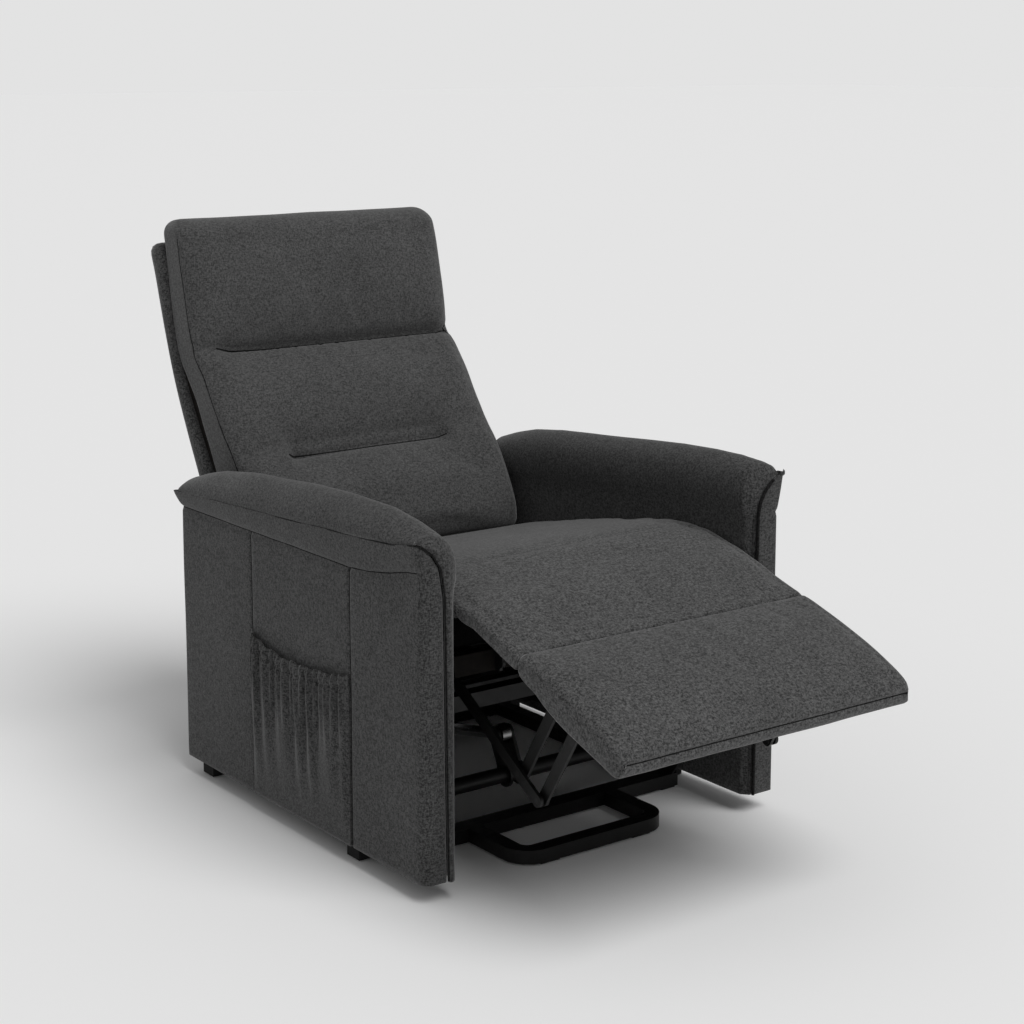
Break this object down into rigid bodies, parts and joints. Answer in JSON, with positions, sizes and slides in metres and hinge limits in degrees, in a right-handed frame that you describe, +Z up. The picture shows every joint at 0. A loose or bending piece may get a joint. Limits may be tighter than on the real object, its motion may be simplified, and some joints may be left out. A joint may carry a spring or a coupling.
{
  "type": "lift recliner chair",
  "caption": "Upholstered power lift recliner with a tall padded back, padded arms, a side pocket, a folding padded footrest and a steel base that raises and tilts the seat.",
  "frame": {"origin": "on the floor at the middle of the footprint in the stored television position", "axes": "+Z up, the sitter faces -Y, +X to the sitter's left"},
  "size_m": [0.7885, 1.455, 1.033],
  "materials": {
    "black_steel": "satin black powder coat",
    "zinc_steel": "zinc plated",
    "rod_steel": "polished",
    "motor_plastic": "matte black",
    "wood": "raw plywood and pine",
    "cushion_fabric": "charcoal heathered weave",
    "cover_fabric": "charcoal heathered weave",
    "piping_fabric": "charcoal self piping",
    "strap_webbing": "elastic webbing",
    "black_rubber": "matte",
    "foot_plastic": "matte black"
  },
  "bodies": {
    "base": {"base_front_loop": "black_steel", "base_cross_bar": "black_steel", "base_side_rails": "black_steel", "base_rear_bar": "black_steel", "base_pivot_plates": "black_steel", "base_pivot_pins": "zinc_steel", "base_motor_bracket": "black_steel", "base_glides": "black_rubber", "control_box": "motor_plastic"},
    "lift_arms": {"lift_arms": "black_steel", "lift_torque_tube": "black_steel", "lift_lever": "black_steel"},
    "lift_followers": {"lift_followers": "black_steel"},
    "lift_motor": {"lift_motor": "motor_plastic"},
    "lift_rod": {"lift_motor_rod": "rod_steel"},
    "chassis": {"chassis_plates": "black_steel", "chassis_tubes": "black_steel", "chassis_pivot_pins": "zinc_steel", "back_motor_bracket": "black_steel", "arm_brackets": "black_steel", "seat_side_rails": "wood", "seat_front_rail": "wood", "seat_rear_rail": "wood", "seat_springs": "zinc_steel", "seat_cushion": "cushion_fabric", "footrest_hinge_brackets": "black_steel", "rear_panel": "cover_fabric", "arm_frame_left": "wood", "arm_frame_right": "wood", "arm_outer_panel_left": "cover_fabric", "arm_outer_panel_right": "cover_fabric", "arm_band_left": "cover_fabric", "arm_band_right": "cover_fabric", "arm_pad_left": "cover_fabric", "arm_pad_right": "cover_fabric", "arm_piping": "piping_fabric", "arm_pocket": "cover_fabric", "arm_feet": "foot_plastic"},
    "back": {"back_shell": "cover_fabric", "back_frame_posts": "wood", "back_frame_rails": "wood", "back_straps": "strap_webbing", "back_cushion_head": "cushion_fabric", "back_cushion_mid": "cushion_fabric", "back_cushion_lumbar": "cushion_fabric", "back_hinge_plates": "black_steel", "back_lever_tube": "black_steel"},
    "back_motor": {"back_motor": "motor_plastic"},
    "back_rod": {"back_motor_rod": "rod_steel"},
    "footrest_mid": {"footrest_mid_bars": "black_steel", "footrest_mid_board": "wood", "footrest_mid_pad": "cushion_fabric"},
    "footrest_main": {"footrest_main_board": "wood", "footrest_main_pad": "cushion_fabric", "footrest_pad_brackets": "black_steel", "footrest_pad_pins": "zinc_steel"},
    "footrest_lower_links": {"footrest_lower_links": "black_steel", "footrest_link_pins": "zinc_steel"},
    "footrest_upper_links_rear": {"footrest_upper_links_rear": "black_steel"},
    "footrest_upper_links_front": {"footrest_upper_links_front": "black_steel"}
  },
  "joints": [
    {"name": "lift", "type": "hinge", "parent": "base", "child": "lift_arms", "pos_m": [0, -0.13, 0.102], "axis": [1, 0, 0], "range_deg": [0, 50]},
    {"name": "lift_tilt", "type": "hinge", "parent": "lift_arms", "child": "chassis", "pos_m": [0, 0.26, 0.085], "axis": [1, 0, 0], "range_deg": [-22, 0]},
    {"name": "lift_follower_pivot", "type": "hinge", "parent": "base", "child": "lift_followers", "pos_m": [0, -0.195, 0.115], "axis": [1, 0, 0], "range_deg": [0, 58.5]},
    {"name": "lift_motor_pivot", "type": "hinge", "parent": "base", "child": "lift_motor", "pos_m": [0, 0.37, 0.07], "axis": [1, 0, 0], "range_deg": [-1, 2]},
    {"name": "lift_rod_slide", "type": "slide", "parent": "lift_motor", "child": "lift_rod", "axis": [0, -0.98, 0.1988], "range_m": [0, 0.06]},
    {"name": "back_recline", "type": "hinge", "parent": "chassis", "child": "back", "pos_m": [0, 0.375, 0.36], "axis": [-1, 0, 0], "range_deg": [-10, 35]},
    {"name": "back_motor_pivot", "type": "hinge", "parent": "chassis", "child": "back_motor", "pos_m": [0, 0.03, 0.225], "axis": [-1, 0, 0], "range_deg": [-1, 3]},
    {"name": "back_rod_slide", "type": "slide", "parent": "back_motor", "child": "back_rod", "axis": [0, 0.9988, 0.0499], "range_m": [-0.078, 0.023]},
    {"name": "footrest_raise", "type": "hinge", "parent": "chassis", "child": "footrest_mid", "pos_m": [0, -0.3, 0.47], "axis": [-1, 0, 0], "range_deg": [-62, 16]},
    {"name": "footrest_fold", "type": "hinge", "parent": "footrest_mid", "child": "footrest_main", "pos_m": [0, -0.476, 0.405], "axis": [-1, 0, 0], "range_deg": [-3.2, 0.9]},
    {"name": "footrest_lower_pivot", "type": "hinge", "parent": "chassis", "child": "footrest_lower_links", "pos_m": [0, -0.22, 0.34], "axis": [-1, 0, 0], "range_deg": [-62.5, 16.5]},
    {"name": "footrest_upper_rear_pivot", "type": "hinge", "parent": "footrest_lower_links", "child": "footrest_upper_links_rear", "pos_m": [0, -0.41, 0.222], "axis": [-1, 0, 0], "range_deg": [-16.6, 63.5]},
    {"name": "footrest_upper_front_pivot", "type": "hinge", "parent": "footrest_lower_links", "child": "footrest_upper_links_front", "pos_m": [0, -0.46, 0.192], "axis": [-1, 0, 0], "range_deg": [-16.8, 64]}
  ],
  "couplings": [
    {"joint": "lift_tilt", "follows": "lift", "ratio": -0.44},
    {"joint": "lift_follower_pivot", "follows": "lift", "ratio": 1.168},
    {"joint": "lift_motor_pivot", "follows": "lift", "ratio": 0.0136},
    {"joint": "lift_rod_slide", "follows": "lift", "m_per_rad": 0.068},
    {"joint": "back_motor_pivot", "follows": "back_recline", "ratio": 0.062},
    {"joint": "back_rod_slide", "follows": "back_recline", "m_per_rad": -0.1239},
    {"joint": "footrest_fold", "follows": "footrest_raise", "ratio": 0.05},
    {"joint": "footrest_lower_pivot", "follows": "footrest_raise", "ratio": 1},
    {"joint": "footrest_upper_rear_pivot", "follows": "footrest_raise", "ratio": -1.0175},
    {"joint": "footrest_upper_front_pivot", "follows": "footrest_raise", "ratio": -1.025}
  ]
}
